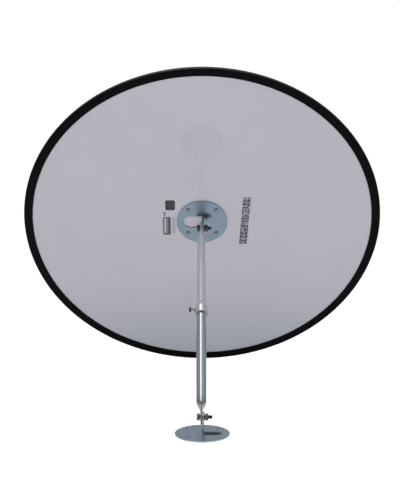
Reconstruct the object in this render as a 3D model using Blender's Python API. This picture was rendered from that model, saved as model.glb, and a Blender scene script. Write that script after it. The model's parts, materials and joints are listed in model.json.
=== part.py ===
"""Round convex observation mirror on a telescopic swivel bracket.

Metres, +Z up.  The origin is the centre of the base plate's mounting face and
+Z points away from that face.  Both pivots turn about axes parallel to X, and
the arm leans from +Z towards +Y.  The back of the mirror faces the base plate,
the domed reflecting side faces away from it.
"""

import math

import bmesh
import bpy
from mathutils import Matrix, Vector

for old in list(bpy.data.objects):
    bpy.data.objects.remove(old, do_unlink=True)

# ---------------------------------------------------------------- dimensions
GAP = 0.0003                    # working gap between touching pieces

# mirror head
MIRROR_R = 0.300                # outside of the rubber trim
TRIM_LIP_R = 0.2852             # inner edge of the trim's two lips
TRIM_SLOT_R = 0.2934            # bottom of the trim's groove
TRIM_ROUND = 0.0037             # rounding of the trim's outer wall
LIP_T = 0.0017                  # thickness of a trim lip
LIP_BEVEL = 0.0005
PANEL_R = 0.2930                # back panel and dome flange
PANEL_T = 0.0020
DOME_T = 0.0018                 # acrylic sheet
DOME_R = 0.2830                 # where the dome leaves its flange
DOME_DEPTH = 0.0900
STIFFENER_R = 0.0550
STIFFENER_T = 0.0030
LABEL_W = 0.0128
LABEL_H = 0.0370
LABEL_T = 0.0002
LABEL_CORNER = 0.0020
LABEL_CENTRE = (-0.0595, -0.0097)

# the two punched plates
PLATE_R = 0.0425
PLATE_T = 0.0025
TONGUE_W = 0.0230
WINDOW_END = 0.0310             # far end of the window, from the plate's centre
BEND_R = 0.0012                 # inside radius of the bent tongue
BASE_TAB_H = 0.0340             # tab height above the plate's top face
HUB_TAB_H = 0.0270
FIXING_R = 0.0335               # pitch radius of the four fixing holes
FIXING_HOLE_R = 0.0023

# pivots
BASE_PIVOT_H = 0.0280           # above the mounting face
HUB_PIVOT_H = 0.0206            # above the back panel
ARM_LEAN = math.radians(52.4)   # arm from +Z towards +Y
HEAD_LEAN = math.radians(65.5)  # mirror's back normal from -Z towards -Y
ARM_LENGTH = 0.3870             # pivot to pivot
TAB_LOW_X = GAP / 2.0           # both tabs lie just on the +X side of x = 0
TAB_HIGH_X = TAB_LOW_X + PLATE_T

# telescopic arm, stations measured from the base pivot
FLAT_T = 0.0026                 # thickness of a flattened tube end
TUBE_X = -(GAP + FLAT_T) / 2.0  # axis of both tubes, beside the tabs
OUTER_R = 0.0080
OUTER_BORE_R = 0.0073
OUTER_END = 0.2190
INNER_R = 0.0070
INNER_BORE_R = 0.0063
INNER_START = 0.1520
COLLAR_R = 0.0110
COLLAR_START = 0.2020
COLLAR_SHOULDER = 0.2165
COLLAR_END = 0.2255
CLAMP_STATION = 0.2120
CLAMP_TUBE_HOLE_R = 0.0031      # hole in the outer tube around the clamp pad

# fasteners
BOLT_R = 0.0030                 # M6
BOLT_HOLE_R = 0.0033
BOLT_LENGTH = 0.0200
BOLT_AF = 0.0100                # AF: across the flats of the hexagon
BOLT_HEAD_H = 0.0040
NUT_H = 0.0050
WASHER_R = 0.0060
WASHER_T = 0.0012
CLAMP_R = 0.0025                # M5
CLAMP_AF = 0.0080
CLAMP_HEAD_H = 0.0035
CLAMP_LENGTH = 0.0077
PAD_R = 0.0023
PAD_T = 0.0011
SCREW_R = 0.0020                # M4
SCREW_HEAD_R = 0.0038
SCREW_HEAD_H = 0.0022
SCREW_PROUD = 0.0015            # screw length beyond its nut
SCREW_NUT_AF = 0.0070
SCREW_NUT_H = 0.0032

# modelling
RIM_SEGMENTS = 96
TUBE_SEGMENTS = 32
FASTENER_SEGMENTS = 18
SHARP_ANGLE = math.radians(35.0)
OVERSHOOT = 0.001               # how far a cutter passes the face it cuts
Z_ONTO_X = (0.0, math.pi / 2.0, 0.0)


# ---------------------------------------------------------------- materials
def make_material(name, colour, roughness, metallic=0.0):
    material = bpy.data.materials.new(name)
    material.use_nodes = True
    shader = material.node_tree.nodes["Principled BSDF"]
    shader.inputs["Base Color"].default_value = (*colour, 1.0)
    shader.inputs["Roughness"].default_value = roughness
    shader.inputs["Metallic"].default_value = metallic
    return material


ACRYLIC = make_material(
    "acrylic_mirror", colour=(0.86, 0.88, 0.90), roughness=0.04, metallic=1.0)
GREY_PANEL = make_material("grey_panel", colour=(0.46, 0.46, 0.50), roughness=0.22)
RUBBER = make_material("black_rubber", colour=(0.012, 0.011, 0.013), roughness=0.48)
ZINC_PLATE = make_material(
    "zinc_plate", colour=(0.42, 0.49, 0.56), roughness=0.38, metallic=1.0)
ZINC_TUBE = make_material(
    "zinc_tube", colour=(0.62, 0.65, 0.68), roughness=0.25, metallic=1.0)
STEEL = make_material(
    "steel_fastener", colour=(0.34, 0.36, 0.39), roughness=0.35, metallic=1.0)
BRASS = make_material("brass", colour=(0.60, 0.44, 0.18), roughness=0.30, metallic=1.0)
NYLON = make_material("nylon", colour=(0.80, 0.79, 0.74), roughness=0.50)
PLYWOOD = make_material("plywood", colour=(0.52, 0.38, 0.22), roughness=0.70)
LABEL_FILM = make_material("label_film", colour=(0.42, 0.43, 0.45), roughness=0.45)


# ---------------------------------------------------------------- frames
def make_frame(name, matrix):
    empty = bpy.data.objects.new(name, None)
    empty.empty_display_size = 0.02
    bpy.context.scene.collection.objects.link(empty)
    empty.matrix_world = matrix
    return empty


BASE_PIVOT = Vector((0.0, 0.0, BASE_PIVOT_H))
ARM_DIRECTION = Vector((0.0, math.sin(ARM_LEAN), math.cos(ARM_LEAN)))
HUB_PIVOT = BASE_PIVOT + ARM_DIRECTION * ARM_LENGTH
AT_BASE_PIVOT = Matrix.Translation(BASE_PIVOT)
AT_HUB_PIVOT = Matrix.Translation(HUB_PIVOT)

base_frame = make_frame("base_frame", Matrix.Identity(4))
base_pivot_frame = make_frame("base_pivot_frame", AT_BASE_PIVOT)
arm_frame = make_frame("arm_frame", AT_BASE_PIVOT @ Matrix.Rotation(-ARM_LEAN, 4, "X"))
head_frame = make_frame(
    "head_frame", AT_HUB_PIVOT @ Matrix.Rotation(math.pi - HEAD_LEAN, 4, "X"))


# ---------------------------------------------------------------- objects
def place(name, mesh, frame, location=(0.0, 0.0, 0.0), rotation=(0.0, 0.0, 0.0),
          material=None):
    """Make an object of a mesh, placed in a frame by location and rotation."""
    mesh.name = name
    ob = bpy.data.objects.new(name, mesh)
    bpy.context.scene.collection.objects.link(ob)
    ob.parent = frame
    ob.location = location
    ob.rotation_euler = rotation
    if material:
        mesh.materials.append(material)
    return ob


def boolean(target, name, mesh, frame, location=(0.0, 0.0, 0.0),
            rotation=(0.0, 0.0, 0.0), operation="DIFFERENCE"):
    """Combine a hidden helper object with the target; returns the helper."""
    helper = place(name, mesh, frame, location, rotation)
    helper.hide_render = True
    helper.display_type = "WIRE"
    modifier = target.modifiers.new(operation.lower(), "BOOLEAN")
    modifier.operation = operation
    modifier.solver = "EXACT"
    modifier.object = helper
    return helper


def drill_along_x(target, name, frame, location, radius, low, high, segments):
    """Cut a round hole parallel to X, low to high measured from the location."""
    mesh = turned([(radius, low), (radius, high)], segments)
    boolean(target, name, mesh, frame, location, Z_ONTO_X)


def drill_for_bolt(target, name, frame, location, reach):
    drill_along_x(target, name, frame, location, BOLT_HOLE_R, -reach, reach, segments=24)


def fixing_places():
    """Number, x, y and angle of each of the four fixing holes."""
    for k in range(4):
        angle = math.radians(45.0 + 90.0 * k)
        yield k + 1, FIXING_R * math.cos(angle), FIXING_R * math.sin(angle), angle


def drill_fixings(target, label, frame, low, high, segments):
    for number, x, y, _ in fixing_places():
        mesh = turned(
            [(FIXING_HOLE_R, low - OVERSHOOT), (FIXING_HOLE_R, high + OVERSHOOT)], segments)
        boolean(target, f"{target.name}_{label}_{number}", mesh, frame, (x, y, 0.0))


# ---------------------------------------------------------------- mesh tools
def skin(rings, closed=False):
    """Skin a stack of equal rings; an open stack gets a cap at each end."""
    bm = bmesh.new()
    loops = [[bm.verts.new(point) for point in ring] for ring in rings]
    count = len(loops[0])
    pairs = list(zip(loops, loops[1:]))
    if closed:
        pairs.append((loops[-1], loops[0]))
    for low, high in pairs:
        for i in range(count):
            j = (i + 1) % count
            bm.faces.new((low[i], low[j], high[j], high[i]))
    if not closed:
        bm.faces.new(list(reversed(loops[0])))
        bm.faces.new(loops[-1])
    bmesh.ops.recalc_face_normals(bm, faces=bm.faces)
    mesh = bpy.data.meshes.new("skin")
    bm.to_mesh(mesh)
    bm.free()
    mesh.shade_smooth()
    mesh.set_sharp_from_angle(angle=SHARP_ANGLE)
    return mesh


def circle(radius, z, count):
    step = 2.0 * math.pi / count
    return [(radius * math.cos(i * step), radius * math.sin(i * step), z) for i in range(count)]


def turned(profile, count, closed=False):
    """Revolve (radius, z) points about Z."""
    return skin([circle(radius, z, count) for radius, z in profile], closed)


def bevelled_disc(radius, low, high, bevel, count):
    return turned([
        (radius - bevel, low), (radius, low + bevel),
        (radius, high - bevel), (radius - bevel, high),
    ], count)


def prism(outline, low, high):
    """An outline in X and Y, extruded along Z."""
    return skin([[(x, y, z) for x, y in outline] for z in (low, high)])


def arc(centre_r, centre_z, radius, start, end, steps):
    """Points on a fillet of a turned profile, angles in degrees."""
    points = []
    for k in range(steps + 1):
        angle = math.radians(start + (end - start) * k / steps)
        points.append((centre_r + radius * math.cos(angle), centre_z + radius * math.sin(angle)))
    return points


# ---------------------------------------------------------------- fasteners
CHAMFER_SHARE = 0.475           # chamfer circle's radius over the across-flats size
CHAMFER_SLOPE = math.tan(math.radians(30.0))


def hexagon(across_flats, z, count, chamfer=0.0):
    """A hexagon sampled at `count` points.  A chamfer of 1 lowers the corners
    along a 30 degree cone, -1 raises them, 0 leaves them level."""
    points = []
    for i in range(count):
        angle = 2.0 * math.pi * i / count
        radius = across_flats / 2.0 / math.cos(angle % (math.pi / 3.0) - math.pi / 6.0)
        drop = (radius - across_flats * CHAMFER_SHARE) * CHAMFER_SLOPE * chamfer
        points.append((radius * math.cos(angle), radius * math.sin(angle), z - drop))
    return points


def hex_bolt(radius, length, across_flats, head_height):
    """Head below z = 0, shank above it up to the length."""
    count = FASTENER_SEGMENTS
    collar_r = across_flats * 0.46      # thin round face under the head
    collar_z = -0.0002
    flats_z = -0.0003
    tip_inset, tip_length = 0.0006, 0.0008
    return skin([
        circle(across_flats * CHAMFER_SHARE, -head_height, count),
        hexagon(across_flats, -head_height, count, chamfer=-1.0),
        hexagon(across_flats, flats_z, count),
        circle(collar_r, collar_z, count),
        circle(collar_r, 0.0, count),
        circle(radius, 0.0, count),
        circle(radius, length - tip_length, count),
        circle(radius - tip_inset, length, count),
    ])


def hex_nut(bore, across_flats, height, count=FASTENER_SEGMENTS):
    chamfer_r = across_flats * CHAMFER_SHARE
    countersink = 0.0004
    return skin([
        circle(bore + countersink, 0.0, count),
        circle(chamfer_r, 0.0, count),
        hexagon(across_flats, 0.0, count, chamfer=-1.0),
        hexagon(across_flats, height, count, chamfer=1.0),
        circle(chamfer_r, height, count),
        circle(bore + countersink, height, count),
        circle(bore, height - countersink, count),
        circle(bore, countersink, count),
    ], closed=True)


def washer():
    edge = 0.0002
    return turned([
        (BOLT_HOLE_R, 0.0), (WASHER_R, 0.0), (WASHER_R, WASHER_T - edge),
        (WASHER_R - edge, WASHER_T), (BOLT_HOLE_R, WASHER_T),
    ], FASTENER_SEGMENTS, closed=True)


# (share of head radius, share of head height)
PAN_HEAD = [(1.0, 0.0), (1.0, 0.40), (0.93, 0.70), (0.72, 0.92), (0.40, 1.0)]


def pan_head_screw(length):
    """Shank below z = 0 down to the length, low domed head above it."""
    tip_inset, tip_length = 0.0005, 0.0006
    shank = [(SCREW_R - tip_inset, -length), (SCREW_R, -length + tip_length), (SCREW_R, 0.0)]
    head = [(SCREW_HEAD_R * across, SCREW_HEAD_H * up) for across, up in PAN_HEAD]
    return turned(shank + head, 14)


def add_pivot_fasteners(prefix, frame):
    """Bolt, two washers and nut along +X through a flattened tube and a tab."""
    washer_x = TUBE_X - FLAT_T / 2.0 - GAP - WASHER_T
    nut_washer_x = TAB_HIGH_X + GAP
    pieces = [
        ("bolt", hex_bolt(BOLT_R, BOLT_LENGTH, BOLT_AF, BOLT_HEAD_H), washer_x - GAP),
        ("bolt_washer", washer(), washer_x),
        ("nut_washer", washer(), nut_washer_x),
        ("nut", hex_nut(BOLT_HOLE_R, BOLT_AF, NUT_H), nut_washer_x + WASHER_T + GAP),
    ]
    for label, mesh, x in pieces:
        place(f"{prefix}_{label}", mesh, frame, (x, 0.0, 0.0), Z_ONTO_X, STEEL)


# ---------------------------------------------------------------- punched plates
def window_outline(bend_x, side):
    """Straight sides and a half-round end, from the bend outwards."""
    half = TONGUE_W / 2.0 + GAP
    end_x = side * (WINDOW_END - half)
    outline = [(bend_x, -half), (end_x, -half)]
    for k in range(1, 12):
        angle = math.radians(-90.0 + 180.0 * k / 12)
        outline.append((end_x + side * half * math.cos(angle), half * math.sin(angle)))
    return outline + [(end_x, half), (bend_x, half)]


def tongue_strip(bend_x, side, low, high, top):
    """Square-ended bent strip: a section in XZ, extruded along Y."""
    overlap = 0.0030                    # length of strip inside the solid plate
    outer_r = BEND_R + PLATE_T
    inside = []
    outside = []
    for k in range(5):
        angle = math.radians(90.0 * k / 4)
        sine, cosine = math.sin(angle), math.cos(angle)
        inside.append((bend_x + side * BEND_R * sine, high + BEND_R * (1.0 - cosine)))
        outside.append((bend_x + side * outer_r * sine, high + BEND_R - outer_r * cosine))
    stub_x = bend_x - side * overlap
    tab_end = [(bend_x + side * BEND_R, top), (bend_x + side * outer_r, top)]
    section = [(stub_x, high)] + inside + tab_end + outside[::-1] + [(stub_x, low)]
    return skin([[(x, y, z) for x, z in section] for y in (-TONGUE_W / 2.0, TONGUE_W / 2.0)])


def tab_rounding(low, top):
    """Volume that keeps the strip but rounds the tab's end, extruded along X."""
    trim = 0.0001
    end_r = TONGUE_W / 2.0 - trim
    end_z = top - end_r
    half_y, half_x = 0.014, 0.02
    bottom = low - 0.004
    shoulder = top - end_r * 1.2
    outline = [(-half_y, bottom), (half_y, bottom), (half_y, shoulder), (end_r, end_z)]
    for k in range(1, 12):
        angle = math.radians(180.0 * k / 12)
        outline.append((end_r * math.cos(angle), end_z + (end_r - trim) * math.sin(angle)))
    outline += [(-end_r, end_z), (-half_y, shoulder)]
    return skin([[(x, y, z) for y, z in outline] for x in (-half_x, half_x)])


def add_tongue_plate(name, frame, low, tab_height, pivot_z, side):
    """Round plate with a round-ended tongue punched out of it and bent up 90
    degrees.  side is +1 or -1: the window lies on that side of the tab in X."""
    high = low + PLATE_T
    top = high + tab_height
    solid_side_x = TAB_LOW_X if side > 0 else TAB_HIGH_X
    bend_x = solid_side_x - side * BEND_R
    disc = bevelled_disc(PLATE_R, low, high, bevel=0.0003, count=64)
    plate = place(name, disc, frame, material=ZINC_PLATE)
    window = prism(window_outline(bend_x, side), low - OVERSHOOT, high + OVERSHOOT)
    boolean(plate, name + "_window", window, frame)
    strip = boolean(plate, name + "_strip", tongue_strip(bend_x, side, low, high, top),
                    frame, operation="UNION")
    boolean(strip, name + "_rounding", tab_rounding(low, top), frame, operation="INTERSECT")
    drill_for_bolt(plate, name + "_bolt_hole", frame, (0.0, 0.0, pivot_z), reach=0.012)
    drill_fixings(plate, "fixing", frame, low, high, segments=20)


# ---------------------------------------------------------------- pressed tubes
def tube_section(round_radius, half_width, blend, station):
    """Section of a tube pressed flat in X: blend 0 is round, 1 is a flat strip
    whose two rounded edges are half_width from the axis along Y.  Points keep
    their share of the perimeter, as the tube wall does when it is pressed."""
    edge_r = FLAT_T / 2.0
    straight = half_width - edge_r
    edge = math.pi * edge_r
    # distances round the flat strip at which each of its five parts ends
    first_flat = straight
    first_edge = first_flat + edge
    second_flat = first_edge + 2.0 * straight
    second_edge = second_flat + edge
    total = second_edge + straight
    ring = []
    for i in range(TUBE_SEGMENTS):
        distance = total * i / TUBE_SEGMENTS
        if distance <= first_flat:
            flat_x, flat_y = edge_r, distance
        elif distance <= first_edge:
            turn = (distance - first_flat) / edge_r
            flat_x, flat_y = edge_r * math.cos(turn), straight + edge_r * math.sin(turn)
        elif distance <= second_flat:
            flat_x, flat_y = -edge_r, straight - (distance - first_edge)
        elif distance <= second_edge:
            turn = math.pi + (distance - second_flat) / edge_r
            flat_x, flat_y = edge_r * math.cos(turn), -straight + edge_r * math.sin(turn)
        else:
            flat_x, flat_y = edge_r, -straight + (distance - second_edge)
        angle = 2.0 * math.pi * i / TUBE_SEGMENTS
        round_x, round_y = round_radius * math.cos(angle), round_radius * math.sin(angle)
        ring.append((round_x + (flat_x - round_x) * blend,
                     round_y + (flat_y - round_y) * blend, station))
    return ring


def flattened_tube(radius, bore, end, flat_until, round_from, mouth, bore_bottom):
    """A tube whose closed end at `end` is pressed flat around a pivot at
    station 0; `mouth` is its open end."""
    half_width = (2.0 * math.pi * radius - math.pi * FLAT_T) / 4.0 + FLAT_T / 2.0
    corner = 0.0060                     # corner radius of the flat end
    lip_inset, lip_length = 0.0002, 0.0003
    rings = []
    for share in (0.0, 0.14, 0.45, 1.0):
        inset = corner - math.sqrt(corner ** 2 - (corner * (1.0 - share)) ** 2)
        rings.append(tube_section(radius, half_width - inset, 1.0, end + share * corner))
    rings.append(tube_section(radius, half_width, 1.0, flat_until))
    for share in (0.2, 0.4, 0.6, 0.8, 1.0):
        ease = share * share * (3.0 - 2.0 * share)
        station = flat_until + (round_from - flat_until) * share
        rings.append(tube_section(radius, half_width, 1.0 - ease, station))
    rings += [
        circle(radius, mouth - lip_length, TUBE_SEGMENTS),
        circle(radius - lip_inset, mouth, TUBE_SEGMENTS),
        circle(bore, mouth, TUBE_SEGMENTS),
        circle(bore, bore_bottom, TUBE_SEGMENTS),
    ]
    return skin(rings)


# ---------------------------------------------------------------- arm
TUBE_AT = (TUBE_X, 0.0, 0.0)
TUBE_AT_CLAMP = (TUBE_X, 0.0, CLAMP_STATION)
TUBE_AT_HUB = (TUBE_X, 0.0, ARM_LENGTH)


def add_outer_tube():
    mesh = flattened_tube(
        OUTER_R, OUTER_BORE_R, end=-0.0090, flat_until=0.0110, round_from=0.0280,
        mouth=OUTER_END, bore_bottom=0.0310)
    tube = place("outer_tube", mesh, arm_frame, TUBE_AT, material=ZINC_TUBE)
    drill_for_bolt(tube, "outer_bolt_hole", arm_frame, TUBE_AT, reach=0.01)
    drill_along_x(tube, "outer_clamp_hole", arm_frame, TUBE_AT_CLAMP,
                  CLAMP_TUBE_HOLE_R, low=-0.012, high=-0.004, segments=20)


def add_collar():
    """Collar round the outer tube's mouth, stepped in to the inner tube."""
    outer_clear = OUTER_R + GAP
    inner_clear = INNER_R + GAP
    bevel = 0.0004
    profile = [
        (outer_clear, COLLAR_START),
        (COLLAR_R - bevel, COLLAR_START),
        (COLLAR_R, COLLAR_START + bevel),
        (COLLAR_R, COLLAR_SHOULDER - 0.0010),
        (COLLAR_R - 0.0003, COLLAR_SHOULDER + 0.0005),
        (COLLAR_R - 0.0010, COLLAR_SHOULDER + 0.0022),
        (0.0089, COLLAR_END - 0.0018),
        (0.0084, COLLAR_END - 0.0004),
        (0.0080, COLLAR_END),
        (inner_clear, COLLAR_END),
        (inner_clear, OUTER_END + GAP),
        (outer_clear, OUTER_END + GAP),
    ]
    collar = place("clamp_collar", turned(profile, 36, closed=True), arm_frame, TUBE_AT,
                   material=ZINC_TUBE)
    drill_along_x(collar, "collar_screw_hole", arm_frame, TUBE_AT_CLAMP,
                  CLAMP_R + GAP, low=-0.014, high=-0.0078, segments=20)


def add_clamp():
    """Clamp screw on the -X side and the pad it pushes against the inner tube."""
    pad_x = TUBE_X - INNER_R - GAP - PAD_T
    screw_x = pad_x - GAP - CLAMP_LENGTH
    place("clamp_pad", bevelled_disc(PAD_R, 0.0, PAD_T, bevel=0.0002, count=18),
          arm_frame, (pad_x, 0.0, CLAMP_STATION), Z_ONTO_X, BRASS)
    place("clamp_screw", hex_bolt(CLAMP_R, CLAMP_LENGTH, CLAMP_AF, CLAMP_HEAD_H),
          arm_frame, (screw_x, 0.0, CLAMP_STATION), Z_ONTO_X, STEEL)


def add_inner_tube():
    """A pressed tube turned end for end, so that its pivot is at the hub."""
    mesh = flattened_tube(
        INNER_R, INNER_BORE_R, end=-0.0088, flat_until=0.0100, round_from=0.0270,
        mouth=ARM_LENGTH - INNER_START, bore_bottom=0.0300)
    tube = place("inner_tube", mesh, arm_frame, TUBE_AT_HUB, (math.pi, 0.0, 0.0), ZINC_TUBE)
    drill_for_bolt(tube, "inner_bolt_hole", arm_frame, TUBE_AT_HUB, reach=0.01)


def add_bush():
    """Bush with a head at the inner tube's mouth and a plug inside its bore."""
    seat = INNER_START - GAP
    head_r = 0.0069
    plug_r = INNER_BORE_R - GAP
    profile = [
        (0.0060, seat - 0.0030), (head_r, seat - 0.0021), (head_r, seat),
        (plug_r, seat), (plug_r, seat + 0.0105), (INNER_BORE_R - 0.0011, seat + 0.0115),
    ]
    place("inner_tube_bush", turned(profile, 24), arm_frame, TUBE_AT, material=NYLON)


# ---------------------------------------------------------------- mirror head
# Heights along the head frame's Z, from the hub pivot; the dome bulges to -Z.
BACK = -HUB_PIVOT_H             # outside of the back panel
PANEL_LOW = BACK - PANEL_T
FLANGE_TOP = PANEL_LOW - GAP    # also the top of the stiffener
FLANGE_LOW = FLANGE_TOP - DOME_T
STIFFENER_LOW = FLANGE_TOP - STIFFENER_T
HUB_PLATE_LOW = BACK + GAP


def add_back_panel():
    disc = bevelled_disc(PANEL_R, PANEL_LOW, BACK, bevel=0.0002, count=RIM_SEGMENTS)
    panel = place("back_panel", disc, head_frame, material=GREY_PANEL)
    drill_fixings(panel, "hole", head_frame, PANEL_LOW, BACK, segments=16)


def dome_arc(radius, centre_z, edge_angle):
    """Profile of a spherical cap, from just off its pole to its edge."""
    steps = 7
    points = []
    for k in range(steps + 1):
        angle = edge_angle * (0.02 + 0.98 * k / steps)
        points.append((radius * math.sin(angle), centre_z - radius * math.cos(angle)))
    return points


def add_dome():
    """Domed sheet with a flat flange round its edge."""
    outer_r = (DOME_R ** 2 + DOME_DEPTH ** 2) / (2.0 * DOME_DEPTH)
    inner_r = outer_r - DOME_T
    centre_z = FLANGE_LOW - DOME_DEPTH + outer_r
    outer_face = dome_arc(outer_r, centre_z, math.asin(DOME_R / outer_r))
    inner_face = dome_arc(inner_r, centre_z, math.acos((centre_z - FLANGE_TOP) / inner_r))
    flange = [(PANEL_R, FLANGE_LOW), (PANEL_R, FLANGE_TOP)]
    place("mirror_dome", turned(outer_face + flange + inner_face[::-1], 64), head_frame,
          material=ACRYLIC)


def add_edge_trim():
    """Grooved ring whose lips grip the back panel and the dome's flange."""
    slot_top = BACK + GAP
    slot_low = FLANGE_LOW - GAP
    lip_high = slot_top + LIP_T
    lip_low = slot_low - LIP_T
    round_r = MIRROR_R - TRIM_ROUND
    profile = [
        (TRIM_LIP_R, slot_top),
        (TRIM_LIP_R, lip_high - LIP_BEVEL),
        (TRIM_LIP_R + LIP_BEVEL, lip_high),
        *arc(round_r, lip_high - TRIM_ROUND, TRIM_ROUND, start=90.0, end=0.0, steps=3),
        *arc(round_r, lip_low + TRIM_ROUND, TRIM_ROUND, start=0.0, end=-90.0, steps=3),
        (TRIM_LIP_R + LIP_BEVEL, lip_low),
        (TRIM_LIP_R, lip_low + LIP_BEVEL),
        (TRIM_LIP_R, slot_low),
        (TRIM_SLOT_R, slot_low),
        (TRIM_SLOT_R, slot_top),
    ]
    place("edge_trim", turned(profile, RIM_SEGMENTS, closed=True), head_frame,
          material=RUBBER)


def add_stiffener():
    """Disc behind the hub plate, on the dome side of the back panel."""
    disc = bevelled_disc(STIFFENER_R, STIFFENER_LOW, FLANGE_TOP, bevel=0.0005, count=48)
    stiffener = place("stiffener_disc", disc, head_frame, material=PLYWOOD)
    drill_fixings(stiffener, "hole", head_frame, STIFFENER_LOW, FLANGE_TOP, segments=16)


def add_hub_screws():
    """Four screws through hub plate, back panel and stiffener, with nuts."""
    nut_z = STIFFENER_LOW - GAP - SCREW_NUT_H
    head_z = HUB_PLATE_LOW + PLATE_T + GAP
    for number, x, y, angle in fixing_places():
        turn = (0.0, 0.0, angle)
        screw = pan_head_screw(head_z - nut_z + SCREW_PROUD)
        place(f"hub_screw_{number}", screw, head_frame, (x, y, head_z), turn, STEEL)
        nut = hex_nut(SCREW_R + GAP, SCREW_NUT_AF, SCREW_NUT_H, count=12)
        place(f"hub_screw_nut_{number}", nut, head_frame, (x, y, nut_z), turn, STEEL)


def add_label():
    """Plain rounded sticker beside the hub plate."""
    outline = []
    for side_x, side_y, start in ((1, 1, 0), (-1, 1, 90), (-1, -1, 180), (1, -1, 270)):
        corner_x = side_x * (LABEL_W / 2 - LABEL_CORNER)
        corner_y = side_y * (LABEL_H / 2 - LABEL_CORNER)
        outline += arc(corner_x, corner_y, LABEL_CORNER, start, start + 90.0, steps=3)
    place("back_label", prism(outline, 0.0, LABEL_T), head_frame,
          (*LABEL_CENTRE, BACK + GAP), material=LABEL_FILM)


# ---------------------------------------------------------------- assembly
add_tongue_plate("base_plate", base_frame, low=0.0, tab_height=BASE_TAB_H,
                 pivot_z=BASE_PIVOT_H, side=1.0)
add_pivot_fasteners("base", base_pivot_frame)

add_outer_tube()
add_collar()
add_clamp()
add_inner_tube()
add_bush()

add_back_panel()
add_dome()
add_edge_trim()
add_stiffener()
add_tongue_plate("hub_plate", head_frame, low=HUB_PLATE_LOW, tab_height=HUB_TAB_H,
                 pivot_z=0.0, side=-1.0)
add_pivot_fasteners("hub", head_frame)
add_hub_screws()
add_label()
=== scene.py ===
"""Convex observation mirror on a telescopic bracket.

The base plate lies on z = 0.  The arm rises from the base pivot in the YZ plane and
carries the mirror head, whose dome looks towards +Y and up and whose back is turned
to the camera on the -Y side.  Every visible piece is rebuilt as fine geometry in the
CAD's own frame and rides on its CAD body.  Metres, +Z up.

Local frames: the base plate uses the world frame; an arm frame has its pivot at the
origin and z along the arm; the head frame has its origin on the hub pivot and z out
of the back of the mirror.  Turned parts have z as their axis.
"""

import json
import math

import bmesh
import bpy
from mathutils import Matrix, Vector


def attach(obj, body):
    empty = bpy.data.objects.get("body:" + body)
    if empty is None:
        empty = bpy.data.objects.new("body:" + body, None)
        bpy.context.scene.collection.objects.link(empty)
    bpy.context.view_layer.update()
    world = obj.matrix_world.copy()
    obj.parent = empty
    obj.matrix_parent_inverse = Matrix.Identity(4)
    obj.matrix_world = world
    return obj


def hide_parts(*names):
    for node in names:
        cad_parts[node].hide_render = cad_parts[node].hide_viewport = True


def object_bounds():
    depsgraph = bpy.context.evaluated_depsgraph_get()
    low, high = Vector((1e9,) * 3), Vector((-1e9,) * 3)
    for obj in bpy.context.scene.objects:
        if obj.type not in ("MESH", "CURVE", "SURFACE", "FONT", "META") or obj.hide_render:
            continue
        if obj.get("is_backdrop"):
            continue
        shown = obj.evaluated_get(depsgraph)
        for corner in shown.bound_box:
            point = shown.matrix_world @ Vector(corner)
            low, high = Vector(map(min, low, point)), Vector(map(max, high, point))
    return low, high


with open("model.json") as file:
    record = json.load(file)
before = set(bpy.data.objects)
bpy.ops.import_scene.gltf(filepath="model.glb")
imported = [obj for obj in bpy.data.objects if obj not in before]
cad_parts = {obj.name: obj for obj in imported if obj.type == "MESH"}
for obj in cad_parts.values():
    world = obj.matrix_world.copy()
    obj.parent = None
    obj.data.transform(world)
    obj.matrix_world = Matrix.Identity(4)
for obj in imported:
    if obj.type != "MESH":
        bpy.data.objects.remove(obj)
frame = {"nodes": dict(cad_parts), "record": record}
cad_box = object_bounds()
scene = bpy.context.scene

# ------------------------------------------------------------------ frames
JOINTS = {joint["name"]: joint for joint in frame["record"]["behaviour"]["joints"]}
BASE_PIVOT = Vector(JOINTS["base_pivot"]["pos_m"])
HUB_PIVOT = Vector(JOINTS["hub_pivot"]["pos_m"])
ARM_DIR = Vector(JOINTS["arm_extend"]["axis"]).normalized()
TUBE_X = JOINTS["arm_twist"]["pos_m"][0]
ARM_LENGTH = (HUB_PIVOT - BASE_PIVOT).length
ARM_LEAN = math.atan2(ARM_DIR.y, ARM_DIR.z)
HEAD_LEAN = math.radians(65.5)

BASE = Matrix.Identity(4)
BASE_PIVOT_AT = Matrix.Translation(BASE_PIVOT)
ARM = Matrix.Translation(BASE_PIVOT) @ Matrix.Rotation(-ARM_LEAN, 4, "X")
HEAD = Matrix.Translation(HUB_PIVOT) @ Matrix.Rotation(math.pi - HEAD_LEAN, 4, "X")
ONTO_X = Matrix.Rotation(math.pi / 2.0, 4, "Y")  # turns a part's z axis onto +x

# ------------------------------------------------------------------ sizes
GAP = 0.0003  # air between neighbouring pieces

# mirror: rubber trim, back sheet, dome
MIRROR_R = 0.300
TRIM_LIP_R = 0.2852
TRIM_SLOT_R = 0.2934
TRIM_ROUND = 0.0037
TRIM_JOINT = 0.00035
LIP_T = 0.0017
PANEL_R = 0.2930
PANEL_T = 0.0020
DOME_T = 0.0018
DOME_R = 0.2830
DOME_DEPTH = 0.0899

# film label
LABEL_W = 0.0128
LABEL_H = 0.0370
LABEL_T = 0.0002
LABEL_CORNER = 0.0020
LABEL_AT = (-0.0595, -0.0097)

# round plates, each with a tongue punched out and bent up as a tab
PLATE_R = 0.0425
PLATE_T = 0.0025
TONGUE_W = 0.0230
WINDOW_END = 0.0310
BEND_R = 0.0012
BASE_TAB_H = 0.0340
HUB_TAB_H = 0.0270
HUB_PIVOT_H = 0.0206
TAB_LOW_X = GAP / 2.0
TAB_HIGH_X = TAB_LOW_X + PLATE_T

# pivot bolts, nuts and washers
BOLT_R = 0.0030
BOLT_HOLE_R = BOLT_R + GAP
BOLT_LENGTH = 0.0200
BOLT_AF = 0.0100
BOLT_HEAD_H = 0.0040
BOLT_PITCH = 0.0010
NUT_H = 0.0050
WASHER_R = 0.0060
WASHER_T = 0.0012

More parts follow.
